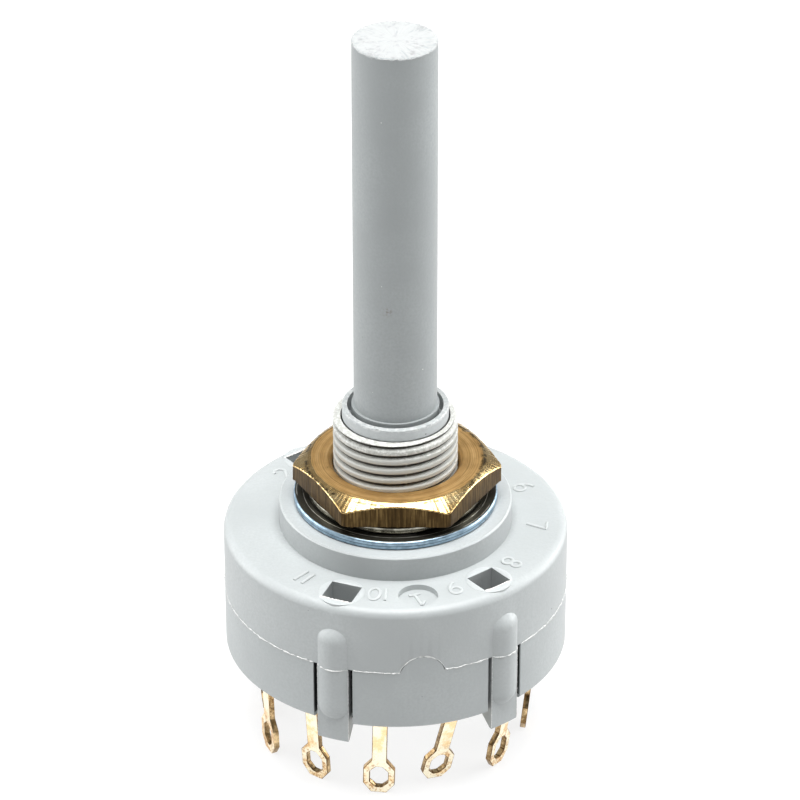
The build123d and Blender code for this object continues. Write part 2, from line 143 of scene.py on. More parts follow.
class Patches:
    """Collects grids of points and makes one mesh piece of them."""

    def __init__(self) -> None:
        """Starts with no grids."""
        self.points: list[Array] = []
        self.faces: list[NDArray[np.int64]] = []
        self.zones: list[NDArray[np.int64]] = []
        self.count = 0

    def add(self, grid: Array, wrap_rows: bool = False, zone: Array | int = 0) -> None:
        """Adds a grid of points with a quad between each four neighbours. Its last column joins its first.

        Args:
            grid: rows by columns by three, in mm.
            wrap_rows: joins the last row to the first.
            zone: material number, one for all or one for each row of quads.
        """
        rows, columns = grid.shape[:2]
        index = np.arange(rows * columns).reshape(rows, columns) + self.count
        if wrap_rows:
            index = np.vstack([index, index[:1]])
        index = np.hstack([index, index[:, :1]])
        quads = np.stack([index[:-1, :-1], index[:-1, 1:], index[1:, 1:], index[1:, :-1]], axis=-1)
        zones = np.broadcast_to(np.asarray(zone).reshape(-1, 1), quads.shape[:2])
        self.points.append(grid.reshape(-1, 3))
        self.faces.append(quads.reshape(-1, 4))
        self.zones.append(zones.reshape(-1))
        self.count += rows * columns

    def piece(self, name: str, body: str, slot: str, materials: list[Material], crease: float = 40.0) -> Piece:
        """Makes the mesh, closes its poles, points its faces outwards and rides it on a body.

        Args:
            name: the piece's name.
            body: the CAD body that carries it.
            slot: not used.
            materials: its materials, in the order of the zones.
            crease: angle in degrees above which an edge stays sharp.

        Returns:
            The finished object, which sits at the origin.
        """
        mesh = bpy.data.meshes.new(name)
        points = np.concatenate(self.points) * MM
        mesh.from_pydata(points.tolist(), [], np.concatenate(self.faces).tolist())
        mesh.polygons.foreach_set("material_index", np.concatenate(self.zones).astype(np.int32))
        work = bmesh.new()
        work.from_mesh(mesh)
        bmesh.ops.remove_doubles(work, verts=work.verts, dist=1e-8)
        bmesh.ops.dissolve_degenerate(work, edges=work.edges, dist=1e-9)
        bmesh.ops.recalc_face_normals(work, faces=work.faces)
        work.to_mesh(mesh)
        work.free()
        mesh.shade_smooth()
        mesh.set_sharp_from_angle(angle=math.radians(crease))
        for material in materials:
            mesh.materials.append(material)
        made = link(name, mesh)
        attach(made, body)
        LOG.info("%s: %d faces on %s", name, len(mesh.polygons), body)
        return made


def bead(path: Array, side: Array, up: Array, half_width: Array, height: Array, facets: int = 8,
         square: float = 1.0) -> Array:
    """A bead along a path: at each point an ellipse of half_width along side and height along up.

    With square under 1 the ellipse's cosine and sine are raised to that power, which squares its shoulders.

    Args:
        path: points along the bead, n by three.
        side: unit vector across the bead, one or n of them.
        up: unit vector out of the surface, one or n of them.
        half_width: half the bead's width at each point.
        height: its height at each point. Both are 0 at an open bead's ends, which closes them.
        facets: points round the ellipse.
        square: power of the cosine and sine.

    Returns:
        A grid of n by facets by three, whose columns wrap.
    """
    angle = np.linspace(0, 2 * np.pi, facets, endpoint=False)
    cosine, sine = (np.sign(part) * np.abs(part) ** square for part in (np.cos(angle), np.sin(angle)))
    across = (half_width[:, None] * cosine)[..., None] * np.broadcast_to(side, path.shape)[:, None]
    out = (height[:, None] * sine)[..., None] * np.broadcast_to(up, path.shape)[:, None]
    return path[:, None] + across + out


def end_taper(count: int, ends: int = 3) -> Array:
    """Widths from 0 to 1 that round off both ends of a bead: the square root of 1 - t squared near each end."""
    place = np.minimum(np.arange(count), np.arange(count)[::-1]) / ends
    return np.sqrt(1 - (1 - np.clip(place, 0, 1)) ** 2)


class Wire:
    """A number on its way through a shader. An expression on wires adds Math nodes."""

    def __init__(self, shader: Shader, socket: bpy.types.NodeSocket) -> None:
        """Wraps one output socket of a shader."""
        self.shader = shader
        self.socket = socket

    def _math(self, operation: str, first: Operand, second: Operand = 0.0) -> Wire:
        """The wire out of one Math node."""
        return self.shader.node("ShaderNodeMath", {"operation": operation}, {0: first, 1: second}).wire(0)

    def __add__(self, other: Operand) -> Wire:
        """Sum."""
        return self._math("ADD", self, other)

    __radd__ = __add__

    def __mul__(self, other: Operand) -> Wire:
        """Product."""
        return self._math("MULTIPLY", self, other)

    __rmul__ = __mul__

    def __sub__(self, other: Operand) -> Wire:
        """Difference."""
        return self._math("SUBTRACT", self, other)

    def __rsub__(self, other: Operand) -> Wire:
        """Difference, with the wire on the right."""
        return self._math("SUBTRACT", other, self)

    def __truediv__(self, other: Operand) -> Wire:
        """Quotient."""
        return self._math("DIVIDE", self, other)

    def __pow__(self, other: Operand) -> Wire:
        """Power."""
        return self._math("POWER", self, other)

    def between(self, low: float, high: float, start: float = 0.0, end: float = 1.0) -> Wire:
        """Goes smoothly from start to end as the wire goes from low to high, and stays there."""
        settings = {"interpolation_type": "SMOOTHSTEP"}
        values = {0: self, 1: low, 2: high, 3: start, 4: end}
        return self.shader.node("ShaderNodeMapRange", settings, values).wire(0)

    def near(self, middle: float, reach: float) -> Wire:
        """1 at a middle value, falling smoothly to 0 at its reach to either side."""
        return self.between(middle - reach, middle) * (1 - self.between(middle, middle + reach))


Operand = Wire | float


class Built:
    """One node of a shader, which gives its outputs as wires."""

    def __init__(self, shader: Shader, node: bpy.types.Node) -> None:
        """Wraps one node."""
        self.shader = shader
        self.node = node

    def wire(self, output: int | str = 0) -> Wire:
        """One output of the node."""
        return Wire(self.shader, self.node.outputs[output])


class Shader:
    """Builds one material's nodes, ending in a Principled surface."""

    def __init__(self, name: str) -> None:
        """Makes the material with an empty tree and its surface."""
        self.material = bpy.data.materials.new(name)
        self.material.use_nodes = True
        self.tree = self.material.node_tree
        self.tree.nodes.clear()
        self.surface = self.node("ShaderNodeBsdfPrincipled")
        self.node("ShaderNodeOutputMaterial", None, {"Surface": self.surface.wire(0)})
        self.place = self.node("ShaderNodeTexCoord").wire("Object")

    def node(self, kind: str, settings: dict[str, object] | None = None,
             values: dict[int | str, object] | None = None) -> Built:
        """Adds one node.

        Args:
            kind: the node's type name.
            settings: its properties, which are set first. A ramp's stops go in as "stops".
            values: a value or a wire for each input, by the input's name or number.

        Returns:
            The node, wrapped.
        """
        node = self.tree.nodes.new(kind)
        for key, value in (settings or {}).items():
            if key == "stops":
                self._stops(node.color_ramp, value)
            else:
                setattr(node, key, value)
        for key, value in (values or {}).items():
            if isinstance(value, Wire):
                self.tree.links.new(value.socket, node.inputs[key])
            else:
                node.inputs[key].default_value = value
        return Built(self, node)

    @staticmethod
    def _stops(ramp: bpy.types.ColorRamp, stops: list[tuple[float, Colour]]) -> None:
        """Puts stops of place and colour on a ramp."""
        while len(ramp.elements) < len(stops):
            ramp.elements.new(0.5)
        for element, (place, colour) in zip(ramp.elements, stops):
            element.position = place
            element.color = (*colour, 1.0)

    def scaled(self, across: float, along: float | None = None, offset: float = 0.0) -> Wire:
        """Object coordinates times one number across the axis and another along it, as a vector.

        Args:
            across: cells for each mm in X and Y.
            along: cells for each mm in Z, if they differ.
            offset: shift of all three, to draw another pattern.

        Returns:
            The vector for a texture.
        """
        scale = (across / MM, across / MM, (along or across) / MM)
        values = {"Vector": self.place, "Scale": scale, "Location": (offset,) * 3}
        return self.node("ShaderNodeMapping", None, values).wire(0)

    def noise(self, place: Wire | float, detail: float = 2.0, roughness: float = 0.5) -> Wire:
        """Noise of about 0 to 1 with one feature for each unit of a vector, or so many for each mm."""
        vector = place if isinstance(place, Wire) else self.scaled(place)
        values = {"Vector": vector, "Scale": 1.0, "Detail": detail, "Roughness": roughness}
        return self.node("ShaderNodeTexNoise", None, values).wire(0)

    def specks(self, per_mm: float, size: float, share: float, offset: float = 0.0) -> Wire:
        """Small round specks: 1 inside, 0 outside.

        Args:
            per_mm: cells for each mm. A cell holds one speck or none.
            size: a speck's radius, as a share of its cell.
            share: the share of cells with a speck.
            offset: shift of the pattern.

        Returns:
            The mask.
        """
        values = {"Vector": self.scaled(per_mm, offset=offset), "Scale": 1.0}
        cells = self.node("ShaderNodeTexVoronoi", None, values)
        pick = self.node("ShaderNodeSeparateColor", None, {0: cells.wire("Color")})
        chosen = pick.wire(0).between(1 - share, 1 - share + 0.02)
        radius = pick.wire(1) * size + size * 0.4
        return chosen * (1 - (cells.wire("Distance") / radius).between(0.7, 1.0))

    def radius(self) -> Wire:
        """Distance from the spindle's axis in mm: the square root of x squared plus y squared."""
        split = self.node("ShaderNodeSeparateXYZ", None, {0: self.place})
        return (split.wire(0) * split.wire(0) + split.wire(1) * split.wire(1)) ** 0.5 / MM

    def height(self) -> Wire:
        """Height above the tags' tips, in mm."""
        return self.node("ShaderNodeSeparateXYZ", None, {0: self.place}).wire(2) / MM

    def rings(self, per_mm: float, cells: float, sway: float) -> Wire:
        """A vector for noise in rings about the axis, so many for each mm, that sway in cells by a reach."""
        values = {0: self.radius() * per_mm, 1: self.noise(cells) * sway}
        return self.node("ShaderNodeCombineXYZ", None, values).wire(0)

    def vectors(self, operation: str, first: object, second: object = (0.0, 0.0, 0.0)) -> Built:
        """One Vector Math node on two vectors, each a wire or three numbers."""
        return self.node("ShaderNodeVectorMath", {"operation": operation}, {0: first, 1: second})

    def mix(self, share: Operand, first: Wire | Colour, second: Wire | Colour) -> Wire:
        """A colour between two: first at share 0 and second at 1."""
        ends = [c if isinstance(c, Wire) else (*c, 1.0) for c in (first, second)]
        settings = {"data_type": "RGBA", "clamp_factor": True}
        return self.node("ShaderNodeMix", settings, {0: share, 6: ends[0], 7: ends[1]}).wire(2)

    def bump(self, level: Wire, depth: float) -> Wire:
        """A normal from a level of 0 to 1 that stands for a depth in mm."""
        values = {"Strength": 1.0, "Distance": depth * MM, "Height": level}
        return self.node("ShaderNodeBump", None, values).wire(0)

    def finish(self, values: dict[str, object]) -> Material:
        """Sets or links the surface's sockets and returns the material."""
        for key, value in values.items():
            socket = self.surface.node.inputs[key]
            if isinstance(value, Wire):
                self.tree.links.new(value.socket, socket)
            elif isinstance(value, tuple):
                socket.default_value = (*value, 1.0)
            else:
                socket.default_value = value
        return self.material


@dataclass(frozen=True)
class Band:
    """A place on a round part: inside a radius and between two levels, in mm."""

    within: float
    low: float
    high: float
    colour: Colour
    side_blur: float = 0.04
    end_blur: float = 0.05

    def share(self, s: Shader) -> Wire:
        """The mask, 1 inside the band."""
        level = s.height()
        inside = 1 - s.radius().between(self.within - self.side_blur, self.within)
        above = level.between(self.low, self.low + self.end_blur)
        return inside * above * (1 - level.between(self.high - self.end_blur, self.high))


@dataclass(frozen=True)
class PlasticFinish:
    """Moulded grey plastic: clouded colour, dark specks, pale dust and a fine satin grain."""

    name: str
    colour: Colour = (0.355, 0.376, 0.378)
    speck: Colour = (0.06, 0.058, 0.05)
    dust: Colour = (0.85, 0.86, 0.85)
    smear: Colour = (0.12, 0.075, 0.06)
    cloud: float = 0.02
    speck_share: float = 0.14
    speck_dark: float = 0.75
    dust_share: float = 0.08
    roughness: float = 0.46
    grain_depth: float = 0.008
    # a band inside a radius painted dark as shade, in slots or grooves
    grime: Band | None = None
    scuff: Band | None = None
    scuff_dirt: Colour = (0.08, 0.075, 0.06)
    smudge: tuple[float, float, float] | None = None

    def build(self) -> Material:
        """The material."""
        s = Shader(self.name)
        clouds = s.noise(0.16, 4.0)
        fine = s.noise(5.0, 3.0)
        dark = tuple(c * (1 - 4.0 * self.cloud) for c in self.colour)
        light = tuple(min(1.0, c * (1 + 2.2 * self.cloud)) for c in self.colour)
        tone = s.mix(clouds.between(0.3, 0.7), dark, light)
        tone = s.mix(fine.between(0.3, 0.7) * 0.7, tone, dark)
        tone = s.mix(s.specks(1.1, 0.07, self.speck_share) * self.speck_dark, tone, self.speck)
        tone = s.mix(s.specks(1.6, 0.06, self.dust_share, 7.3) * 0.6, tone, self.dust)
        if self.scuff:
            worn = self.scuff.share(s) * 0.75
            blotches = s.noise(s.scaled(3.2, offset=4.0), 5.0, 0.75).between(0.46, 0.60)
            tone = s.mix(blotches * worn, tone, self.scuff.colour)
            tone = s.mix(s.specks(2.4, 0.20, 0.09, 2.0) * worn, tone, self.scuff_dirt)
        # painted shade: the band is darkened where shade falls in the hollows
        if self.grime:
            tone = s.mix(self.grime.share(s), tone, self.grime.colour)
        if self.smudge:
            away = s.vectors("DISTANCE", s.place, tuple(part * MM for part in self.smudge)).wire("Value") / MM
            patch = (1 - away.between(0.1, 0.55)) * s.noise(4.0).between(0.4, 0.7)
            tone = s.mix(patch * 0.75, tone, self.smear)
        rough = self.roughness + 0.16 * fine - 0.08 + 0.1 * clouds - 0.05
        return s.finish({
            "Base Color": tone,
            "Roughness": rough,
            "Normal": s.bump(fine + 2.0 * s.noise(2.2), self.grain_depth),
            "IOR": 1.5,
        })


@dataclass(frozen=True)
class FlashFinish:
    """Thin torn flash and cut plastic: whiter than the moulding, rough and mottled."""

    name: str
    colour: Colour = (0.56, 0.57, 0.56)
    shade: Colour = (0.31, 0.31, 0.30)
    speck: Colour = (0.12, 0.11, 0.09)
    mottle: float = 6.0
    depth: float = 0.02

    def build(self) -> Material:
        """The material."""
        s = Shader(self.name)
        mottle = s.noise(self.mottle, 4.0, 0.6)
        tone = s.mix(mottle.between(0.52, 0.75), self.colour, self.shade)
        tone = s.mix(s.specks(2.4, 0.11, 0.05) * 0.6, tone, self.speck)
        return s.finish({
            "Base Color": tone,
            "Roughness": 0.7 + 0.2 * mottle,
            "Normal": s.bump(mottle, self.depth),
            "IOR": 1.5,
        })


class Cut(Enum):
    """How a brass face was cut."""

    TURNED = "turned"
    BRIGHT = "bright"
    DRAWN = "drawn"


@dataclass(frozen=True)
class BrassFinish:
    """Brass with the marks of one cut: rings from the lathe, a bright chamfer or the bar's drawn streaks."""

    name: str
    cut: Cut
    dark: Colour
    middle: Colour
    light: Colour
    roughness: float
    rim: float = 0.0
    pit: Colour = (0.05, 0.03, 0.012)
    dirt: Colour = (0.035, 0.02, 0.008)

    def _marks(self, s: Shader) -> Wire:
        """The level of the cutting marks, 0 to 1: rings about the axis, or streaks along it."""
        if self.cut is Cut.DRAWN:
            return s.noise(s.scaled(7.0, 0.35), 5.0, 0.65)
        return s.noise(s.rings(9.0, 0.25, 3.0), 4.0, 0.6)

    def build(self) -> Material:
        """The material."""
        s = Shader(self.name)
        marks = self._marks(s)
        stain = s.noise(s.scaled(0.6, offset=3.1), 4.0, 0.6)
        stops = [(0.25, self.dark), (0.5, self.middle), (0.8, self.light)]
        tone = s.node("ShaderNodeValToRGB", {"stops": stops}, {0: marks * 0.75 + stain * 0.3 - 0.02}).wire(0)
        tone = s.mix(s.specks(1.7, 0.07, 0.12, 5.0) * 0.75, tone, self.pit)
        if self.rim:
            patches = s.noise(s.scaled(1.6, offset=6.0), 4.0, 0.7).between(0.46, 0.58)
            tone = s.mix(s.radius().near(self.rim, 0.22) * patches * 0.9, tone, self.dirt)
        return s.finish({
            "Base Color": tone,
            "Metallic": 1.0,
            "Roughness": self.roughness + 0.25 * (1 - marks) - 0.1 + 0.12 * stain,
            "Normal": s.bump(marks, 0.01),
        })


@dataclass(frozen=True)
class PlatedFinish:
    """Plated or bare metal: two tones in a mottle, fine scratches and dark pits.

    Above a given level its top face is painted dark as shade and dark reflection, with pale arcs painted on it as
    highlights, and a thin dark line runs round at line_at.
    """

    name: str
    colour: Colour
    shade: Colour
    roughness: float
    mottle: float = 1.6
    depth: float = 0.006
    pit_share: float = 0.06
    # above this level the top face takes the dark tone as painted shade and dark reflection, crossed by painted
    # highlight arcs in the arc tone
    dark_above: float = 0.0
    dark: Colour = (0.10, 0.096, 0.078)
    arc: Colour = (0.80, 0.80, 0.74)
    line_at: float = 0.0
    line: Colour = (0.035, 0.045, 0.055)
    pit: Colour = (0.03, 0.028, 0.025)

    def build(self) -> Material:
        """The material."""
        s = Shader(self.name)
        mottle = s.noise(self.mottle, 5.0, 0.62)
        scratches = s.noise(s.scaled(6.0, 1.0, 1.7), 3.0)
        tone = s.mix(mottle.between(0.38, 0.66), self.colour, self.shade)
        # painted shade and dark reflection on the top face, crossed by pale arcs of painted highlight
        if self.dark_above:
            arcs = s.noise(s.rings(5.0, 0.3, 2.0), 3.0, 0.6).between(0.56, 0.62)
            painted_shade_top = s.mix(arcs, self.dark, self.arc)
            tone = s.mix(s.height().between(self.dark_above, self.dark_above + 0.02), tone, painted_shade_top)
        if self.line_at:
            wavy = s.height() + 0.04 * mottle
            tone = s.mix(wavy.near(self.line_at, 0.05) * 0.85, tone, self.line)
        tone = s.mix(s.specks(2.0, 0.08, self.pit_share) * 0.7, tone, self.pit)
        return s.finish({
            "Base Color": tone,
            "Metallic": 1.0,
            "Roughness": self.roughness + 0.2 * scratches - 0.1 + 0.15 * mottle - 0.05,
            "Normal": s.bump(scratches + mottle, self.depth),
        })


@dataclass(frozen=True)
class GiltFinish:
    """Gilt sheet: pale gold faces, browner and mottled round the eyelet, with dark cut edges.

    A face is one whose normal lies along the way out from the axis, and a cut edge is square to it. The cut edges'
    dark brown is painted shade and dark reflection of the switch's underside.
    """

    name: str
    pale: Colour = (1.0, 0.92, 0.71)
    gold: Colour = (0.98, 0.74, 0.42)
    brown: Colour = (0.50, 0.26, 0.10)
    # the cut edges' tone: painted shade and dark reflection
    edge: Colour = (0.24, 0.15, 0.065)
    speck: Colour = (0.10, 0.05, 0.02)
    eyelet_top: float = 3.6
    roughness: float = 0.25

    def build(self) -> Material:
        """The material."""
        s = Shader(self.name)
        low = 1 - s.height().between(self.eyelet_top - 1.2, self.eyelet_top + 0.8)
        broad = s.noise(0.9, 4.0, 0.6)
        fine = s.noise(s.scaled(5.0, offset=2.0), 4.0, 0.65)
        level = s.mix(broad.between(0.42, 0.62), self.pale, self.gold)
        tone = s.mix((fine * 0.6 + broad * 0.4).between(0.47, 0.60) * (low * 0.75 + 0.12), level, self.brown)
        tone = s.mix(s.specks(3.0, 0.11, 0.05) * 0.6, tone, self.speck)
        # painted shade: faces square to the way out, the cut edges, take the dark brown edge tone
        out = s.vectors("NORMALIZE", s.vectors("MULTIPLY", s.place, (1.0, 1.0, 0.0)).wire(0)).wire(0)
        normal = s.node("ShaderNodeNewGeometry").wire("True Normal")
        square = s.vectors("DOT_PRODUCT", out, normal).wire("Value")
        face = (square * square).between(0.25, 0.6)
        cut = s.mix((fine * 0.35 + broad * 0.65).between(0.40, 0.68), self.edge, self.gold)
        return s.finish({
            "Base Color": s.mix(face, cut, tone),
            "Metallic": 1.0,
            "Roughness": self.roughness + 0.3 * (fine - 0.5) + 0.12 * low,
            "Normal": s.bump(fine + broad, 0.012),
        })


@dataclass(frozen=True)
class Finishes:
    """Every finish of the switch, built once."""

    housing: Material
    base: Material
    spindle: Material
    thread: Material
    flash: Material
    torn: Material
    sawn: Material
    disc: Material
    numeral: Material
    turned: Material
    bright: Material
    drawn: Material
    zinc: Material
    steel: Material
    gilt: Material
    cut: Material
    polished: Material

    @staticmethod
    def build() -> Finishes:
        """Builds the materials from their finishes."""
        return Finishes(
            housing=PlasticFinish("housing_grey", scuff=Band(
                within=4.6, low=28.60, high=29.2, colour=(0.50, 0.51, 0.50))).build(),
            # painted shade: inside the wall's radius, between these levels, the base's slots are painted
            # near-black
            base=PlasticFinish("base_grey", colour=(0.345, 0.367, 0.369), grime=Band(
                within=13.16, low=8.35, high=16.0, colour=(0.012, 0.012, 0.012))).build(),
            spindle=PlasticFinish("spindle_grey", colour=(0.272, 0.292, 0.294), speck_share=0.12,
                                  smudge=(-1.1, -2.95, 38.6)).build(),
            thread=PlasticFinish("thread_grey", colour=(0.40, 0.405, 0.38), speck_share=0.35, dust_share=0.4,
                                 grain_depth=0.016, roughness=0.55,
                                 # painted shade: the thread's grooves, inside radius 4.53, are painted dark
                                 grime=Band(within=4.53, low=20.0, high=27.75, colour=(0.06, 0.055, 0.045)),
                                 scuff=Band(within=5.2, low=26.6, high=28.2,
                                            colour=(0.60, 0.61, 0.59))).build(),
            flash=FlashFinish("moulding_flash").build(),
            torn=FlashFinish("torn_flash", colour=(0.56, 0.56, 0.54), shade=(0.24, 0.17, 0.11),
                             mottle=4.0).build(),
            sawn=FlashFinish("sawn_end", colour=(0.335, 0.345, 0.345), shade=(0.25, 0.255, 0.255), mottle=1.6,
                             depth=0.05).build(),
            disc=PlasticFinish("witness_grey", colour=(0.39, 0.412, 0.414), dust_share=0.0).build(),
            numeral=PlasticFinish("numeral_grey", colour=(0.40, 0.42, 0.42), speck_share=0.0).build(),
            turned=BrassFinish("brass_turned", Cut.TURNED, (0.21, 0.12, 0.04), (0.55, 0.34, 0.13),
                               (0.92, 0.66, 0.32), 0.40, rim=6.7).build(),
            bright=BrassFinish("brass_chamfer", Cut.BRIGHT, (0.20, 0.115, 0.036), (0.58, 0.40, 0.17),
                               (1.0, 0.84, 0.50), 0.17, rim=6.85).build(),
            drawn=BrassFinish("brass_flats", Cut.DRAWN, (0.016, 0.010, 0.005), (0.075, 0.046, 0.018),
                              (0.30, 0.20, 0.08), 0.42).build(),
            # the stop ring's top face is painted dark as shade and reflection, with painted highlight arcs
            zinc=PlatedFinish("zinc_plate", (0.33, 0.45, 0.55), (0.20, 0.28, 0.35), 0.38, dark_above=21.235,
                              line_at=20.93).build(),
            steel=PlatedFinish("washer_steel", (0.36, 0.35, 0.30), (0.11, 0.105, 0.085), 0.18).build(),
            gilt=GiltFinish("tag_gilt").build(),
            # the tags' rounded edges take this dark brown, painted as shade and dark reflection
            cut=PlatedFinish("cut_edge_painted_shade", (0.30, 0.18, 0.08), (0.09, 0.05, 0.02), 0.4, mottle=2.5).build(),
            polished=PlatedFinish("ball_steel", (0.62, 0.62, 0.62), (0.50, 0.50, 0.50), 0.12).build(),
        )


@dataclass(frozen=True)
class Levels:
    """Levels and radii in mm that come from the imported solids."""

    base_z: float
    seam_z: float
    top_z: float
    boss_z: float
    nut_z: float
    nut_top_z: float
    mouth_z: float
    tip_z: float
    body_r: float
    spindle_r: float

    @staticmethod
    def from_frame(base_h: float = 5.05, ring_t: float = 0.7, boss_h: float = 2.0,
                   spindle_d: float = 6.35) -> Levels:
        """Reads the solids' boxes.

        Args:
            base_h: height of the rear base's wall, in mm.
            ring_t: thickness of the stop ring.
            boss_h: height of the boss above the cup's top.
            spindle_d: diameter of the spindle.

        Returns:
            The levels, in mm.
        """
        base_low, base_high = (np.array(corner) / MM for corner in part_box("rear_base"))
        nut_low, nut_high = (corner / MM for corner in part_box("hex_nut"))
        boss_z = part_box("stop_ring")[1].z / MM - ring_t
        return Levels(
            base_z=base_low[2],
            seam_z=base_low[2] + base_h,
            top_z=boss_z - boss_h,
            boss_z=boss_z,
            nut_z=nut_low.z,
            nut_top_z=nut_high.z,
            mouth_z=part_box("front_housing")[1].z / MM,
            tip_z=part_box("spindle")[1].z / MM,
            body_r=base_high[0],
            spindle_r=spindle_d / 2,
        )


def soften(piece: Piece, width: float, angle: float = 32.0, edge_slot: int = -1, loose: bool = True) -> None:
    """Merges a solid's loose triangles, rounds its edges and evens its normals, all by modifiers.

    Args:
        piece: the object, which keeps its own mesh.
        width: the rounding's width, in mm.
        angle: edges sharper than this many degrees are rounded.
        edge_slot: number of the material that the rounding takes, or -1 for its neighbours'.
        loose: the mesh is loose triangles. A merged copy isn't.
    """
    stack: list[tuple[str, str, dict[str, object]]] = []
    if loose:
        stack.append(("merge", "WELD", {"merge_threshold": MERGE_DISTANCE}))
        stack.append(("flats", "DECIMATE", {"decimate_type": "DISSOLVE", "angle_limit": FLAT_ANGLE}))
    stack.append(("smooth", "NODES", {"node_group": smooth_faces()}))
    stack.append(("edges", "BEVEL", {
        "width": width * MM, "segments": 2, "limit_method": "ANGLE", "angle_limit": math.radians(angle),
        "miter_outer": "MITER_ARC", "material": edge_slot,
    }))
    stack.append(("normals", "WEIGHTED_NORMAL", {"weight": 100}))
    for name, kind, settings in stack:
        modifier = piece.modifiers.new(name, kind)
        for key, value in settings.items():
            setattr(modifier, key, value)


def smooth_faces() -> bpy.types.NodeTree:
    """The node group that shades every face smooth, made once."""
    name = "smooth_faces"
    if name in bpy.data.node_groups:
        return bpy.data.node_groups[name]
    tree = bpy.data.node_groups.new(name, "GeometryNodeTree")
    tree.interface.new_socket("Geometry", in_out="INPUT", socket_type="NodeSocketGeometry")
    tree.interface.new_socket("Geometry", in_out="OUTPUT", socket_type="NodeSocketGeometry")
    start = tree.nodes.new("NodeGroupInput")
    smooth = tree.nodes.new("GeometryNodeSetShadeSmooth")
    end = tree.nodes.new("NodeGroupOutput")
    tree.links.new(start.outputs[0], smooth.inputs[0])
    tree.links.new(smooth.outputs[0], end.inputs[0])
    return tree


def dress(piece: Piece, material: Material) -> None:
    """Gives a CAD node's object one material."""
    piece.data.materials.clear()
    piece.data.materials.append(material)


def merged_copy(node: Piece, name: str, cuts: tuple[float, ...] = ()) -> Piece:
    """A copy of a CAD node with its loose triangles merged into whole faces.

    Args:
        node: the CAD node's object.
        name: the copy's name.
        cuts: bearings of planes through the axis that divide the faces, so that none goes all round a hole.

    Returns:
        The copy, at the origin, not yet riding on a body.
    """
    mesh = node.data.copy()
    mesh.name = name
    work = bmesh.new()
    work.from_mesh(mesh)
    bmesh.ops.remove_doubles(work, verts=work.verts, dist=MERGE_DISTANCE)
    bmesh.ops.dissolve_limit(work, angle_limit=FLAT_ANGLE, verts=work.verts, edges=work.edges)
    for bearing in cuts:
        across = facing(bearing)[1]
        whole = [*work.verts, *work.edges, *work.faces]
        bmesh.ops.bisect_plane(work, geom=whole, dist=MERGE_DISTANCE, plane_co=(0.0, 0.0, 0.0), plane_no=across)
    work.to_mesh(mesh)
    work.free()
    return link(name, mesh)


def places_of(piece: Piece) -> Array:
    """The places of a copy's points, in mm, n by three."""
    places = np.empty(len(piece.data.vertices) * 3)
    piece.data.vertices.foreach_get("co", places)
    return places.reshape(-1, 3) / MM


def move_points(piece: Piece, places: Array) -> None:
    """Moves a copy's points to new places, in mm."""
    piece.data.vertices.foreach_set("co", (places * MM).ravel())


class Glyphs:
    """Numerals as an engraver's single strokes in a box 1 high, with round stretches as arcs."""

    width = 0.6

    @staticmethod
    def arc(x: float, y: float, across: float, up: float, start: float, end: float) -> Array:
        """Points of an elliptic arc: centre x, y, radii across and up, angles in degrees."""
        angle = np.radians(np.linspace(start, end, max(4, int(abs(end - start) / 15) + 1)))
        return np.stack([x + across * np.cos(angle), y + up * np.sin(angle)], axis=-1)

    @staticmethod
    def run(*corners: tuple[float, float]) -> Array:
        """Points of a straight-sided line, a few to each side."""
        ends = np.array(corners)
        share = np.linspace(0, 1, 5)[:-1, None]
        sides = [a + (b - a) * share for a, b in zip(ends[:-1], ends[1:])]
        return np.concatenate([*sides, ends[-1:]])

    @classmethod
    def strokes(cls, digit: str) -> list[Array]:
        """The strokes of one digit, each a list of points."""
        ring = cls.arc(0.3, 0.28, 0.28, 0.28, 0, 360)
        tail = cls.arc(0.62, 0.28, 0.6, 0.72, 105, 180)
        return {
            "0": [cls.arc(0.3, 0.5, 0.28, 0.5, 0, 360)],
            "1": [cls.run((0.3, 0), (0.3, 1))],
            "2": [np.concatenate([cls.arc(0.3, 0.71, 0.28, 0.29, 160, -35), cls.run((0, 0), (0.6, 0))])],
            "3": [cls.arc(0.28, 0.75, 0.25, 0.25, 150, -80), cls.arc(0.28, 0.27, 0.3, 0.27, 80, -150)],
            "4": [cls.run((0.45, 0), (0.45, 1), (0, 0.3), (0.62, 0.3))],
            "5": [np.concatenate([cls.run((0.55, 1), (0.1, 1), (0.05, 0.55)),
                                  cls.arc(0.27, 0.32, 0.3, 0.32, 115, -150)])],
            "6": [ring, tail],
            "7": [cls.run((0, 1), (0.6, 1), (0.2, 0))],
            "8": [cls.arc(0.3, 0.76, 0.23, 0.24, 0, 360), cls.arc(0.3, 0.26, 0.28, 0.26, 0, 360)],
            "9": [np.array([cls.width, 1.0]) - stroke for stroke in (ring, tail)],
        }[digit]


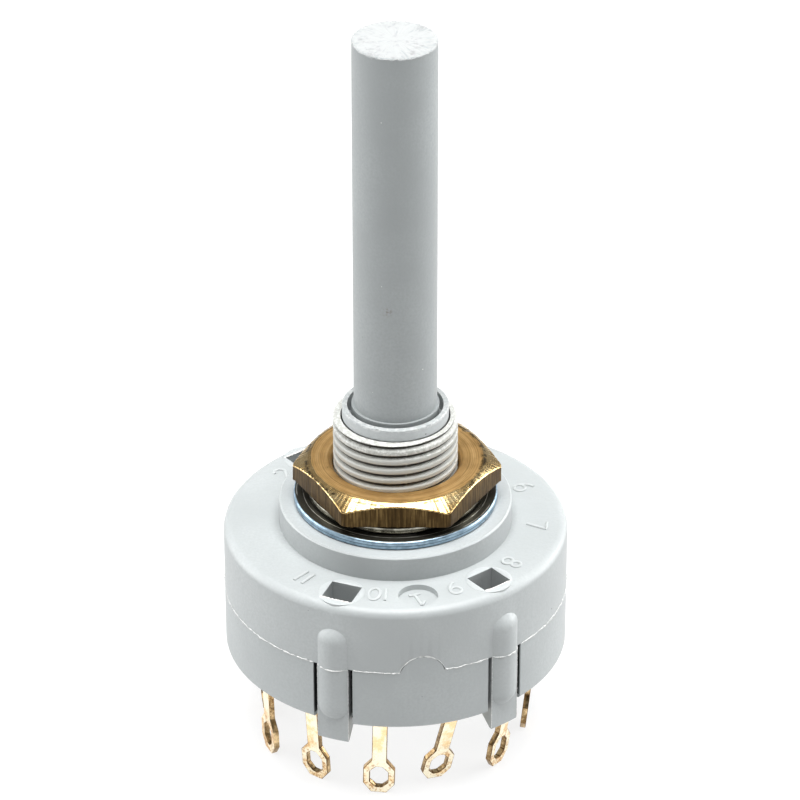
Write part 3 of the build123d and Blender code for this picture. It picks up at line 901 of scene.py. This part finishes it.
@dataclass
class Housing:
    """The front housing with its thread, numerals and moulding flash, and the rear base."""

    finishes: Finishes
    levels: Levels
    body: str = "housing"
    thread_r: float = 4.7625
    thread_pitch: float = 0.82
    thread_start: float = 0.872
    thread_depth: float = 0.38
    crest_flat: float = 0.30
    core_r: float = 4.2
    nose_r: float = 4.075
    nose_h: float = 0.93
    nose_bevel: float = 0.3
    rim_bevel: float = 0.05
    edge_r: float = 0.7
    edge_width: float = 0.07
    numeral_h: float = 1.55
    numeral_r: float = 10.9
    numeral_line: float = 0.12
    numeral_rise: float = 0.11
    first_number: int = 2
    recess_r: float = 11.05
    recess_depth: float = 0.45
    recess_numeral_h: float = 1.5
    recess_lean: float = math.radians(13.0)
    window_r: float = 11.225
    window_half: float = 1.2
    window_reach: float = 1.125
    window_outer_r: float = 12.35
    witness_r: float = 1.76
    witness_rise: float = 0.03
    leg_bearings: tuple[float, ...] = (-30.0, 30.0, 150.0, 210.0)
    leg_half: float = 1.25
    leg_slot: float = 0.34
    leg_drop: float = 1.6
    rib_proud: float = 0.55
    rib_half: float = 1.2
    key_chord: float = 3.45
    key_rise: float = 1.4
    numerals: dict[float, str] = field(default_factory=dict)
    numeral_nudge: dict[str, float] = field(default_factory=lambda: {"11": -3.0})

    def __post_init__(self) -> None:
        """Sets a number beside each position from 2 to 11, clockwise from above."""
        self.numerals = {-15.0 + 30.0 * (10 - number): str(number) for number in range(self.first_number, 12)}

    def build(self, nodes: Nodes) -> None:
        """Makes and dresses the pieces."""
        self._shell(nodes["front_housing"])
        dress(nodes["rear_base"], self.finishes.base)
        soften(nodes["rear_base"], self.edge_width)
        self._thread()
        self._numerals()
        self._witness_discs()
        self._seam_flash()
        self._leg_flash()
        self._window_flash()

    def _shell(self, node: Piece) -> None:
        """The housing's merged copy, whose bush is turned down to a core for the thread's sleeve.

        Each point of the bush's wall keeps its bearing and level and goes to the core's radius. The bevel of the
        nose's rim is drawn in to a small one: its outer ring of points goes up and its inner ring goes out.
        """
        shell = merged_copy(node, "housing_shell", (0.0, *self.leg_bearings[:2]))
        places = places_of(shell)
        reach = np.hypot(places[:, 0], places[:, 1])
        level, mouth_z, close = places[:, 2], self.levels.mouth_z, 0.02
        on_bush = (reach > self.nose_r + 0.1) & (reach < self.thread_r + 0.05)
        on_bush &= (level > self.levels.boss_z - 0.01) & (level < mouth_z - self.nose_h + 0.01)
        shrink = np.where(on_bush, self.core_r / np.maximum(reach, 1e-9), 1.0)
        places[:, :2] *= shrink[:, None]
        nose = (np.abs(reach - self.nose_r) < close) & (np.abs(level - mouth_z + self.nose_bevel) < close)
        rim = (np.abs(reach - self.nose_r + self.nose_bevel) < close) & (level > mouth_z - close)
        places[nose, 2] = mouth_z - self.rim_bevel
        places[rim, :2] *= (self.nose_r - self.rim_bevel) / (self.nose_r - self.nose_bevel)
        move_points(shell, places)
        dress(shell, self.finishes.housing)
        soften(shell, self.edge_width, loose=False)
        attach(shell, self.body)
        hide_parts("front_housing")

    def _thread(self) -> None:
        """The bush's thread, a right-hand helix.

        With t the share of a pitch above a groove, which climbs one pitch for each turn, a flank's way down is
        |2t - 1| past the crest's flat, from 0 to 1, and the radius is the major radius less the depth times it.
        The way is rounded near both ends. The last turn leads in by a quarter round, and a parting line stands
        proud near the key axis.
        """
        low, high = self.levels.boss_z + 0.02, self.levels.mouth_z - self.nose_h
        columns, per_pitch, lead_h, parting_at = 240, 15, 0.15, 1.2
        bearing = np.arange(columns) * 360 / columns
        height = np.linspace(low, high, int((high - low) / self.thread_pitch * per_pitch))[:, None]
        climb = (height - self.levels.boss_z) / self.thread_pitch - (bearing - 90) / 360 - self.thread_start
        t = climb % 1.0
        way = np.clip((np.abs(2 * t - 1) - self.crest_flat) / (1 - self.crest_flat), 0, 1)
        way = way - 0.05 * np.sin(2 * np.pi * way)
        radius = self.thread_r + 0.02 - self.thread_depth * way
        parting = np.exp(-(((bearing - parting_at + 180) % 360 - 180) / 0.7) ** 2)
        turn = bearing / 360 + 0 * height
        wear = 0.012 * ripple(turn + 3.0 * height, 3, 20, 90) * (1 - np.abs(2 * t - 1))
        radius = radius + wear + 0.045 * parting * (1 + ripple(turn + 5.0 * height, 4, 20, 60))
        lead = np.clip((high - height) / lead_h, 0, 1)
        radius = np.minimum(radius, self.thread_r - lead_h * (1 - np.sqrt(1 - (1 - lead) ** 2)))
        wall = around(radius, bearing, height)
        inner = [around(np.full(columns, r), bearing, np.full(columns, z))[None]
                 for r, z in ((self.core_r - 0.1, low), (self.nose_r - 0.02, high))]
        patches = Patches()
        patches.add(np.concatenate([inner[0], wall, inner[1]]), wrap_rows=True)
        patches.piece("bush_thread", self.body, "housing_plastic", [self.finishes.thread], crease=75.0)

    def _top_height(self, radius: Array) -> Array:
        """The cup's top at a radius: flat, then the quarter round of its edge."""
        over = np.clip(radius - (self.levels.body_r - self.edge_r), 0, self.edge_r)
        return self.levels.top_z - self.edge_r + np.sqrt(self.edge_r**2 - over**2)

    def _stroke(self, patches: Patches, line: Array, bearing: float, radius: float, level: float,
                size: float) -> None:
        """Lays one stroke of a numeral on a level face, its top outwards, as a raised bead with flat ends.

        A stroke that comes back to its start is a ring.
        """
        up, right = facing(bearing)
        flat = (line - np.array([Glyphs.width / 2, 0.5])) * size
        path = radius * up + flat[:, :1] * right + flat[:, 1:] * up + level * UP
        closed = np.allclose(path[0], path[-1])
        if closed:
            path = path[:-1]
            along = np.roll(path, -1, axis=0) - np.roll(path, 1, axis=0)
        else:
            along = np.pad(np.gradient(path, axis=0), ((1, 1), (0, 0)), "edge")
            path = np.pad(path, ((1, 1), (0, 0)), "edge")
        along /= np.linalg.norm(along, axis=1)[:, None]
        full = np.ones(len(path))
        if not closed:
            full[[0, -1]] = 0
        grid = bead(path, np.cross(UP, along), UP, self.numeral_line * full, self.numeral_rise * full, 12, 0.6)
        patches.add(grid, wrap_rows=closed)

    def _numerals(self) -> None:
        """Raised position numbers on the top face, and the small 1 in the index recess."""
        patches = Patches()
        for bearing, number in self.numerals.items():
            bearing += self.numeral_nudge.get(number, 0.0)
            spread = 0.85 if number == "10" else 0.7
            for place, digit in enumerate(number):
                shift = (place - (len(number) - 1) / 2) * spread
                turn = bearing - math.degrees(shift / self.numeral_r)
                for line in Glyphs.strokes(digit):
                    self._stroke(patches, line, turn, self.numeral_r, self.levels.top_z, self.numeral_h)
        floor = self.levels.top_z - self.recess_depth
        stem_foot_and_flag = (((0.3, 0.0), (0.3, 1.0)), ((0.0, 0.0), (0.6, 0.0)), ((0.3, 1.0), (0.02, 0.72)))
        cosine, sine = math.cos(self.recess_lean), math.sin(self.recess_lean)
        lean = np.array([[cosine, sine], [-sine, cosine]])
        centre = np.array([Glyphs.width / 2, 0.5])
        for ends in stem_foot_and_flag:
            line = (Glyphs.run(*ends) - centre) @ lean + centre
            self._stroke(patches, line, 0.0, self.recess_r, floor, self.recess_numeral_h)
        patches.piece("numerals", self.body, "housing_plastic", [self.finishes.numeral])

    def _witness_discs(self) -> None:
        """Low flat discs round the windows, where core pins closed on the mould, with each window left open.

        At each angle the inner edge is the window's rectangle, the lesser of half its width over |cos| and half
        its depth over |sin|, and the outer edge is a circle. The disc is level, so it stands proud of the cup's
        rounded edge.
        """
        patches = Patches()
        corner = np.arctan2(self.window_reach, self.window_half)
        corners = corner * np.array([1, -1, 1, -1]) + np.pi * np.array([0, 2, 1, 1])
        angle = np.sort(np.concatenate([np.linspace(0, 2 * np.pi, 96, endpoint=False), corners]))
        with np.errstate(divide="ignore"):
            inner = np.minimum(self.window_half / np.abs(np.cos(angle)),
                               self.window_reach / np.abs(np.sin(angle)))
        worn = 0.012 * ripple(angle / (2 * np.pi), 17, 4, 30)
        top = self.levels.top_z + self.witness_rise
        profile = [
            (inner + 0.002, top - 0.25), (inner + 0.002, top - 0.02), (inner + 0.03, top),
            (self.witness_r - 0.03 + worn, top), (self.witness_r + worn, top - 0.02),
            (self.witness_r + worn, top - 0.25),
        ]
        for bearing in self.leg_bearings:
            up, right = facing(bearing)
            spoke = np.cos(angle)[:, None] * right + np.sin(angle)[:, None] * up
            rows = [self.window_r * up + (reach * np.ones_like(angle))[:, None] * spoke + level * UP
                    for reach, level in profile]
            patches.add(np.stack(rows), wrap_rows=True)
        patches.piece("witness_discs", self.body, "housing_plastic", [self.finishes.disc])

    def _leg_flash(self) -> None:
        """Thin pale flash down the edges of the legs."""
        patches = Patches()
        count = 60
        height = np.linspace(self.levels.seam_z, self.levels.base_z - self.leg_drop + 0.03, count)
        for number, bearing in enumerate(self.leg_bearings):
            up, right = facing(bearing)
            for side in (-1, 1):
                ragged = ripple(height / 30, 50 + 2 * number + side, 20, 120)
                across = side * (self.leg_half - 0.012)
                reach = math.sqrt(self.levels.body_r**2 - across**2) - 0.02
                path = reach * up + across * right + height[:, None] * UP
                thick = (0.028 + 0.012 * ragged) * end_taper(count)
                patches.add(bead(path, right, up, thick, thick))
        patches.piece("leg_flash", self.body, "housing_plastic", [self.finishes.flash])

    def _rib_radius(self, offset: Array) -> Array:
        """The radius of a leg's half-round rib at a sideways offset in mm from the leg's middle."""
        chord_r = math.sqrt(self.levels.body_r**2 - self.rib_half**2)
        sagitta = self.levels.body_r + self.rib_proud - chord_r
        rib_r = (self.rib_half**2 + sagitta**2) / (2 * sagitta)
        axis_r = self.levels.body_r + self.rib_proud - rib_r
        return np.hypot(axis_r + np.sqrt(np.maximum(rib_r**2 - offset**2, 0)), offset)

    def _seam_flash(self) -> None:
        """Flash along the seam: a torn bead over wall, key tab and ribs, with gaps at the slots.

        Its level is the seam's, or the arch's circle over the key tab, plus a small ripple. Its thickness ripples
        too.
        """
        key_r = ((self.key_chord / 2) ** 2 + self.key_rise**2) / (2 * self.key_rise)
        body_r = self.levels.body_r
        slot_edge = math.degrees(math.asin((self.leg_half + self.leg_slot) / body_r))
        leg_edge = math.degrees(math.asin(self.leg_half / body_r))
        ordered = sorted(bearing % 360 for bearing in self.leg_bearings)
        spans = [(bearing - leg_edge, bearing + leg_edge) for bearing in ordered]
        spans += [(a + slot_edge, b - slot_edge) for a, b in zip(ordered, [*ordered[1:], ordered[0] + 360])]
        patches = Patches()
        for start, end in spans:
            bearing = np.linspace(start, end, max(12, int((end - start) * 3)))
            near = (bearing + 180) % 360 - 180
            across = body_r * np.sin(np.radians(near))
            on_key = (np.abs(across) < self.key_chord / 2) & (np.abs(near) < 90)
            arch = self.key_rise - key_r + np.sqrt(np.maximum(key_r**2 - across**2, 0))
            ragged = ripple(bearing / 360, 11, 30, 260)
            height = self.levels.seam_z + np.where(on_key, arch, 0) + 0.03 * ripple(bearing / 360, 12, 20, 160)
            offset = body_r * np.sin(np.radians(bearing - (start + end) / 2))
            on_leg = end - start < 2 * slot_edge
            radius = self._rib_radius(offset) if on_leg else np.full(len(bearing), body_r)
            taper = end_taper(len(bearing))
            thick = (0.045 + 0.03 * np.clip(ragged, -1, 1.5)) * taper
            proud = (0.05 + 0.04 * np.clip(ragged, -1, 1.8)) * taper
            grid = bead(around(radius, bearing, height), UP, outwards(bearing), thick, proud)
            grid[..., :2] = np.clip(grid[..., :2], -body_r, body_r)
            patches.add(grid)
        patches.piece("seam_flash", self.body, "housing_plastic", [self.finishes.flash])

    def _window_flash(self) -> None:
        """Torn flash on the outer edge of each window, wider near one corner."""
        patches = Patches()
        half, inset = self.window_half + 0.15, 0.2
        across = np.linspace(-half, half, 40)
        taper = end_taper(len(across))
        corner = np.exp(-(((across - self.window_half + inset) / 0.3) ** 2))
        for number, bearing in enumerate(self.leg_bearings):
            up, right = facing(bearing)
            ragged = ripple(across / 12, 21 + number, 8, 60)
            reach = self.window_outer_r + 0.02 * ragged
            path = reach[:, None] * up + across[:, None] * right + (self.levels.top_z + 0.005) * UP
            wide = (0.06 + 0.05 * np.clip(ragged, -1.0, 1.4) + 0.12 * corner) * taper
            patches.add(bead(path, up, UP, wide, (0.045 + 0.02 * ragged) * taper))
        patches.piece("window_flash", self.body, "housing_plastic", [self.finishes.torn])


@dataclass
class Spindle:
    """The spindle with its sawn end, and the detent parts that turn with it."""

    finishes: Finishes
    levels: Levels
    body: str = "rotor"
    edge_width: float = 0.05
    tip_bevel: float = 0.35
    rim_bevel: float = 0.08
    saw_depth: float = 0.12

    def build(self, nodes: Nodes) -> None:
        """Makes and dresses the pieces."""
        self._shaft(nodes["spindle"])
        polished, steel, gilt = self.finishes.polished, self.finishes.steel, self.finishes.gilt
        looks = (("detent_ball_a", polished, 0.01, 60.0), ("detent_ball_b", polished, 0.01, 60.0),
                 ("detent_spring", steel, 0.04, 32.0), ("wiper_contact", gilt, 0.05, 32.0))
        for name, finish, width, angle in looks:
            dress(nodes[name], finish)
            soften(nodes[name], width, angle)
        self._sawn_end()

    def _shaft(self, node: Piece) -> None:
        """The spindle's merged copy, whose tip is cut down by the depth of the saw's marks.

        The tip's bevel is drawn in to a small one: its outer ring of points goes up and its inner ring out.
        """
        shaft = merged_copy(node, "spindle_shaft")
        places = places_of(shaft)
        r, tip = self.levels.spindle_r, self.levels.tip_z
        reach = np.hypot(places[:, 0], places[:, 1])
        inner = (places[:, 2] > tip - 0.01) & (reach > 0.5 * r)
        outer = (np.abs(places[:, 2] - tip + self.tip_bevel) < 0.02) & (reach > 0.95 * r)
        places[inner, :2] *= (r - self.rim_bevel) / (r - self.tip_bevel)
        places[inner, 2] = tip - self.saw_depth
        places[outer, 2] = tip - self.saw_depth - self.rim_bevel
        move_points(shaft, places)
        dress(shaft, self.finishes.spindle)
        soften(shaft, self.edge_width, loose=False)
        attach(shaft, self.body)
        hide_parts("spindle")

    def _sawn_end(self) -> None:
        """The rough white end: a cap over the tip whose top and bevel ripple with their place across it.

        The profile of radius and drop runs from the middle of the top over the bevel and back underneath to the
        axis, and each of its points has its own roughness.
        """
        r, z = self.levels.spindle_r, self.levels.tip_z - 0.8 * self.saw_depth
        columns = 160
        bearing = np.arange(columns) * 360 / columns
        profile = np.array([
            (0.0, 0.0), (0.35 * r, 0.0), (0.6 * r, 0.0), (0.78 * r, 0.0), (0.88 * r, 0.0), (r - 0.14, -0.01),
            (r - 0.06, -0.03), (r - 0.01, -0.07), (r + 0.01, -0.13), (r - 0.05, -0.19), (0.5 * r, -0.9),
            (0.0, -0.9),
        ])
        rough = np.array([0.0, 0.03, 0.04, 0.05, 0.065, 0.07, 0.075, 0.07, 0.07, 0.03, 0.0, 0.0])
        rows = []
        for (reach, drop), amount in zip(profile, rough):
            flat = around(reach, bearing, 0.0)
            rows.append(flat + (z + drop + amount * grain(flat[:, 0], flat[:, 1], 31, 1.5, 6.0))[:, None] * UP)
        patches = Patches()
        patches.add(np.stack(rows))
        patches.piece("sawn_end", self.body, "spindle_plastic", [self.finishes.sawn], crease=60.0)


@dataclass
class Fasteners:
    """The brass nut, the lock washer and the plated stop ring."""

    finishes: Finishes
    levels: Levels
    body: str = "housing"
    flats: float = 14.0
    crown_r: float = 6.75
    chamfer_angle: float = 30.0
    bore_r: float = 4.86
    bore_bevel: float = 0.3
    turn: float = -9.6
    shift: tuple[float, float] = (0.13, 0.04)
    corner_cut: float = 0.10
    crown_wear: float = 0.08
    nicks: tuple[tuple[float, float], ...] = ((118.0, 2.2), (127.0, 1.4))
    edge: float = 0.07
    burr: float = 0.07

    def build(self, nodes: Nodes) -> None:
        """Makes and dresses the pieces."""
        dress(nodes["stop_ring"], self.finishes.zinc)
        soften(nodes["stop_ring"], 0.05)
        dress(nodes["lock_washer"], self.finishes.steel)
        soften(nodes["lock_washer"], 0.09)
        self._nut()

    def _nut(self) -> None:
        """The nut as a section carried round the axis, stretched at each bearing to the hexagon's edge.

        The hexagon's edge is half the flats over the cosine of the bearing from a flat's middle, with its
        corners cut a little. The chamfer is a cone, so its foot drops by its slope times the way from the crown
        to the edge. Each corner of the section is a quadratic curve between points an edge's width to either side.
        The nicks are bearings on the crown with their widths in degrees.
        """
        bearing = np.arange(720) * 0.5
        turn = bearing / 360
        off = (bearing - self.turn + 30) % 60 - 30
        edge_r = self.flats / 2 / np.cos(np.radians(off))
        corner = self.flats / 2 / math.cos(math.radians(30))
        edge_r = np.minimum(edge_r, corner - self.corner_cut)
        low, high = self.levels.nut_z, self.levels.nut_top_z
        slope = math.tan(math.radians(self.chamfer_angle))
        nick = sum(np.exp(-(((bearing - at) / wide) ** 2)) for at, wide in self.nicks)
        crown_r = self.crown_r - self.crown_wear
        crown = crown_r + 0.03 * ripple(turn, 41, 4, 30) - 0.12 * nick
        foot = high - (edge_r - crown_r) * slope + 0.02 * ripple(turn, 42, 30, 160)
        burr = self.burr * np.clip(ripple(turn, 43, 25, 120) - 0.5, 0, 1.2)
        same = np.ones_like(bearing)
        section = [
            (self.bore_r + self.bore_bevel, low, 0),
            (self.bore_r, low + self.bore_bevel, 0),
            (self.bore_r, high - self.bore_bevel, 0),
            (self.bore_r + self.bore_bevel, high, 0),
            (crown, high - 0.05 * nick, 1),
            (edge_r, foot, 2),
            (edge_r + burr * 0.5, low - burr * 0.6, 2),
        ]
        corners = np.stack([np.stack([r * same, z * same], axis=-1) for r, z, _ in section])
        before = np.roll(corners, 1, axis=0) - corners
        after = np.roll(corners, -1, axis=0) - corners
        length = [np.linalg.norm(step, axis=-1)[..., None] for step in (before, after)]
        reach = np.minimum(self.edge, 0.4 * np.minimum(*length))
        start, end = corners + before / length[0] * reach, corners + after / length[1] * reach
        shares = (0.0, 0.35, 0.65, 1.0)
        rows = [(1 - t) ** 2 * start + 2 * t * (1 - t) * corners + t**2 * end for t in shares]
        rows = np.stack(rows, axis=1).reshape(-1, len(bearing), 2)
        zones = np.repeat([zone for _, _, zone in section], len(shares))
        foot_row = 5 * len(shares)
        zones[foot_row:foot_row + 3] = 1
        grid = around(rows[..., 0], bearing, rows[..., 1])
        outer = (rows[..., 0] > self.crown_r - 0.2)[..., None]
        grid = grid + outer * np.array([*self.shift, 0.0])
        patches = Patches()
        patches.add(grid, wrap_rows=True, zone=zones)
        finishes = [self.finishes.turned, self.finishes.bright, self.finishes.drawn]
        nut = patches.piece("brass_nut", self.body, "nut_brass", finishes, crease=50.0)
        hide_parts("hex_nut")


@dataclass
class Tags:
    """The twelve solder tags and the common terminal."""

    finishes: Finishes
    edge_width: float = 0.05

    def build(self, nodes: Nodes) -> None:
        """Dresses the pieces."""
        for name in (*BLADE_NODES, "common_terminal"):
            dress(nodes[name], self.finishes.gilt)
            # the rounded edges take the dark cut material, painted shade and dark reflection
            nodes[name].data.materials.append(self.finishes.cut)
            soften(nodes[name], self.edge_width, edge_slot=1)
            LOG.info("%s: dressed", name)


@dataclass(frozen=True)
class Softbox:
    """One square area light that faces the switch."""

    name: str
    azimuth: float
    elevation: float
    distance: float
    size: float
    power: float

    def build(self, target: Vector) -> None:
        """Makes the light at its azimuth and elevation, in degrees, and points it at the target."""
        data = bpy.data.lights.new(self.name, "AREA")
        data.size = self.size
        data.energy = self.power
        lamp = link(self.name, data)
        back = direction(self.azimuth, self.elevation)
        lamp.location = target + back * self.distance
        lamp.rotation_euler = back.to_track_quat("Z", "Y").to_euler()


def direction(azimuth: float, elevation: float) -> Vector:
    """The unit vector towards a camera or light: azimuth 0 is -Y and 90 is +X, in degrees."""
    a, e = math.radians(azimuth), math.radians(elevation)
    return Vector((math.sin(a) * math.cos(e), -math.cos(a) * math.cos(e), math.sin(e)))


@dataclass
class Studio:
    """A pale floor, soft light and the camera at the photograph's angle."""

    target: Vector = field(default_factory=lambda: Vector((0, 0, 28.37 * MM)))
    azimuth: float = -8.8
    elevation: float = 30.93
    distance: float = 0.3419
    lens: float = 202.5
    sensor: float = 36.0
    roll: float = -0.095
    shift: tuple[float, float] = (4.6 / 800, 8.6 / 800)
    floor_half: float = 1.5
    floor_drop: float = 0.02 * MM
    back_light: float = 0.34
    front_light: float = 0.015
    softboxes: tuple[Softbox, ...] = (
        Softbox("overhead", 0.0, 82.0, 0.55, 0.46, 7.8),
        Softbox("left_bank", -112.0, 10.0, 0.55, 0.42, 3.0),
        Softbox("right_bank", 102.0, 10.0, 0.55, 0.42, 4.0),
    )

    def build(self) -> None:
        """Makes the floor, the light and the camera."""
        bpy.context.scene.view_settings.view_transform = "Standard"
        self._floor()
        self._world()
        for box in self.softboxes:
            box.build(self.target)
        self._camera()

    def _floor(self) -> None:
        """A flat pale floor just under the tags' tips, which glows a little as a light table does."""
        half, z = self.floor_half, -self.floor_drop
        mesh = bpy.data.meshes.new("floor")
        corners = [(-half, -half, z), (half, -half, z), (half, half, z), (-half, half, z)]
        mesh.from_pydata(corners, [], [(0, 1, 2, 3)])
        s = Shader("pale_floor")
        mottle = s.noise(0.05, 3.0)
        mesh.materials.append(s.finish({
            "Base Color": s.mix(mottle, (0.19, 0.19, 0.19), (0.21, 0.21, 0.21)),
            "Roughness": 0.9,
            "Specular IOR Level": 0.1,
            "Emission Color": (1.0, 1.0, 1.0),
            "Emission Strength": 0.80,
        }))
        floor = link("floor", mesh)

    def _world(self) -> None:
        """A soft white surround, dimmer on the camera's side."""
        world = bpy.data.worlds.new("surround")
        bpy.context.scene.world = world
        world.use_nodes = True
        tree = world.node_tree
        background = tree.nodes["Background"]
        place = tree.nodes.new("ShaderNodeTexCoord")
        towards = tree.nodes.new("ShaderNodeVectorMath")
        towards.operation = "DOT_PRODUCT"
        towards.inputs[1].default_value = direction(self.azimuth, 15.0)
        dim = tree.nodes.new("ShaderNodeMapRange")
        limits = {"From Min": -0.6, "From Max": 0.9, "To Min": self.back_light, "To Max": self.front_light}
        for name, value in limits.items():
            dim.inputs[name].default_value = value
        tree.links.new(place.outputs["Generated"], towards.inputs[0])
        tree.links.new(towards.outputs["Value"], dim.inputs["Value"])
        tree.links.new(dim.outputs["Result"], background.inputs["Strength"])
        background.inputs["Color"].default_value = (0.97, 0.985, 1.0, 1.0)

    def _camera(self) -> None:
        """The camera: it looks at the target from its azimuth and elevation, with a small roll and shift."""
        data = bpy.data.cameras.new("camera")
        data.lens = self.lens
        data.sensor_width = self.sensor
        data.shift_x, data.shift_y = self.shift
        data.clip_start, data.clip_end = 0.01, 10.0
        camera = link("camera", data)
        back = direction(self.azimuth, self.elevation)
        look = back.to_track_quat("Z", "Y").to_matrix() @ Matrix.Rotation(math.radians(self.roll), 3, "Z")
        camera.matrix_world = Matrix.Translation(self.target + back * self.distance) @ look.to_4x4()
        bpy.context.scene.camera = camera


def main() -> None:
    """Loads the frame, dresses it and builds the studio."""
    logging.basicConfig(level=logging.INFO, format="%(name)s: %(message)s")
    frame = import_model()
    nodes = frame["nodes"]
    finishes, levels = Finishes.build(), Levels.from_frame()
    Housing(finishes, levels).build(nodes)
    Spindle(finishes, levels).build(nodes)
    Fasteners(finishes, levels).build(nodes)
    Tags(finishes).build(nodes)
    Studio().build()


if __name__ == "__main__":
    main()
